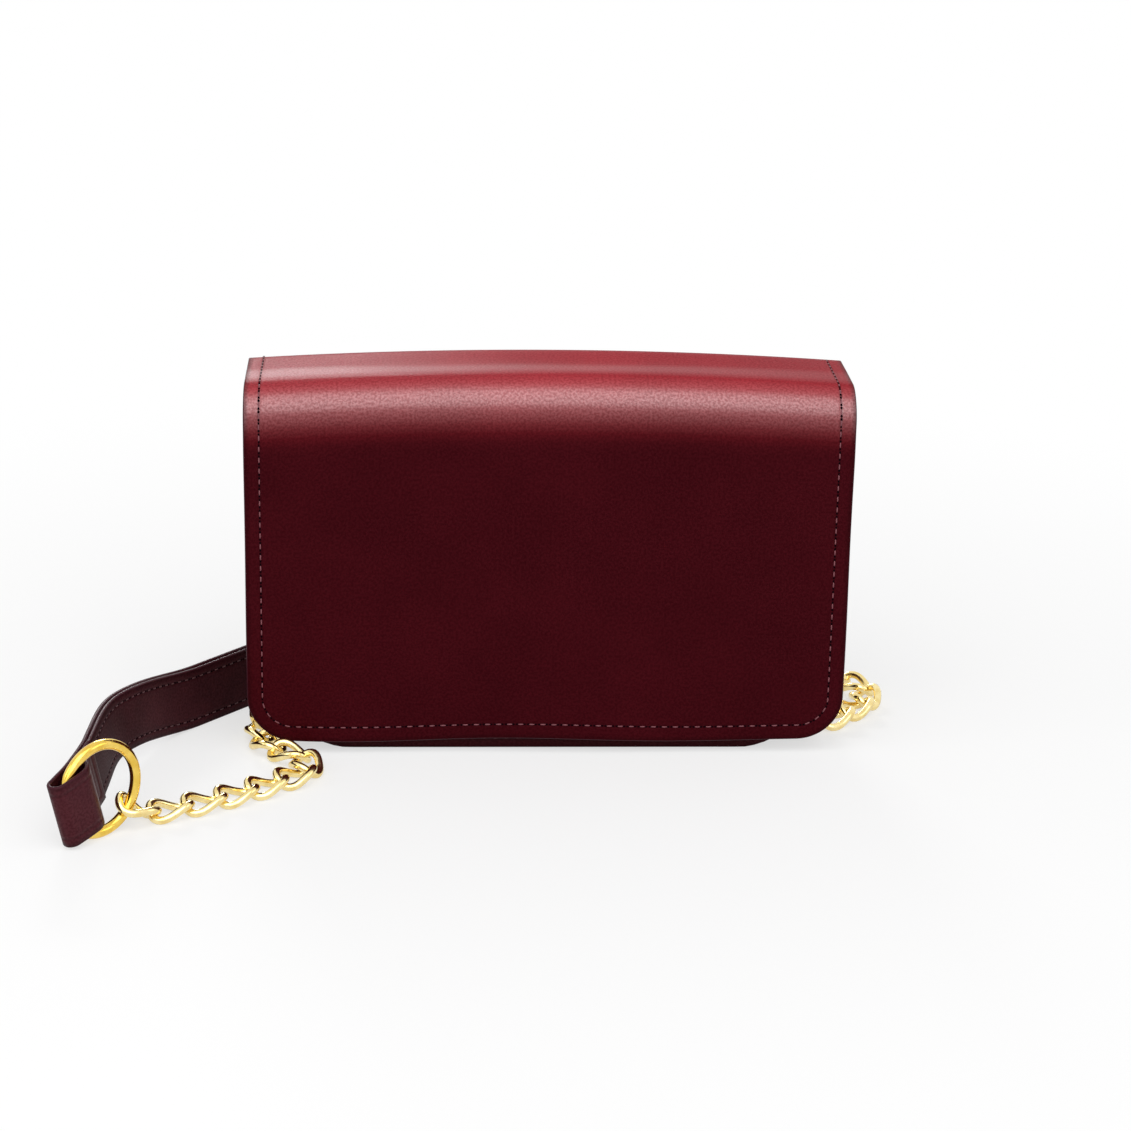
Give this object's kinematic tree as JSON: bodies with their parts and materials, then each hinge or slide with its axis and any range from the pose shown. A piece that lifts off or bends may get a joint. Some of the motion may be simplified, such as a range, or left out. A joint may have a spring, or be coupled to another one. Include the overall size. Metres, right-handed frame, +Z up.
{
  "type": "flap shoulder bag",
  "caption": "Compact leather flap bag with a magnetic snap, D-rings and a leather strap joined to curb chains by round rings.",
  "frame": {"origin": "middle of the front panel's bottom edge, on the surface that the bag stands on, midway through the panel's leather", "axes": "+X to the bag's right side as seen from the front, +Y from the front to the back, +Z up"},
  "size_m": [0.3213, 0.2718, 0.1493],
  "materials": {
    "leather": "smooth, satin",
    "flap_leather": "smooth, satin, fine grain",
    "strap_leather": "smooth, satin",
    "strap_inside": "smooth, matte",
    "lining": "matte",
    "board": "matte",
    "deep_gold": "polished gold plate",
    "pale_gold": "polished pale gold plate"
  },
  "bodies": {
    "bag": {"back_board": "board", "back_lining": "lining", "back_panel": "leather", "chain_left": "pale_gold", "chain_right": "pale_gold", "d_ring_left": "deep_gold", "d_ring_right": "deep_gold", "front_board": "board", "front_lining": "lining", "front_panel": "leather", "gusset": "leather", "gusset_lining": "lining", "ring_tab_left": "leather", "ring_tab_right": "leather", "slip_pocket": "lining", "snap_socket": "deep_gold", "snap_washer": "deep_gold", "strap_lining": "strap_inside", "strap_outer": "strap_leather", "tab_rivet_left": "deep_gold", "tab_rivet_right": "deep_gold"},
    "flap": {"flap": "flap_leather", "flap_lining": "lining", "snap_stud": "deep_gold"},
    "ring_left": {"o_ring_left": "deep_gold"},
    "ring_right": {"o_ring_right": "deep_gold"}
  },
  "joints": [
    {"name": "flap_hinge", "type": "hinge", "parent": "bag", "child": "flap", "pos_m": [0, 0.04185, 0.1458], "axis": [-1, 0, 0], "range_deg": [0, 135]},
    {"name": "ring_left_turn", "type": "hinge", "parent": "bag", "child": "ring_left", "pos_m": [-0.16491, -0.0884, 0.01875], "axis": [0.7071, -0.7071, 0], "continuous": true},
    {"name": "ring_right_turn", "type": "hinge", "parent": "bag", "child": "ring_right", "pos_m": [0.05635, 0.09009, 0.01875], "axis": [-0.8192, -0.5736, 0], "continuous": true}
  ]
}
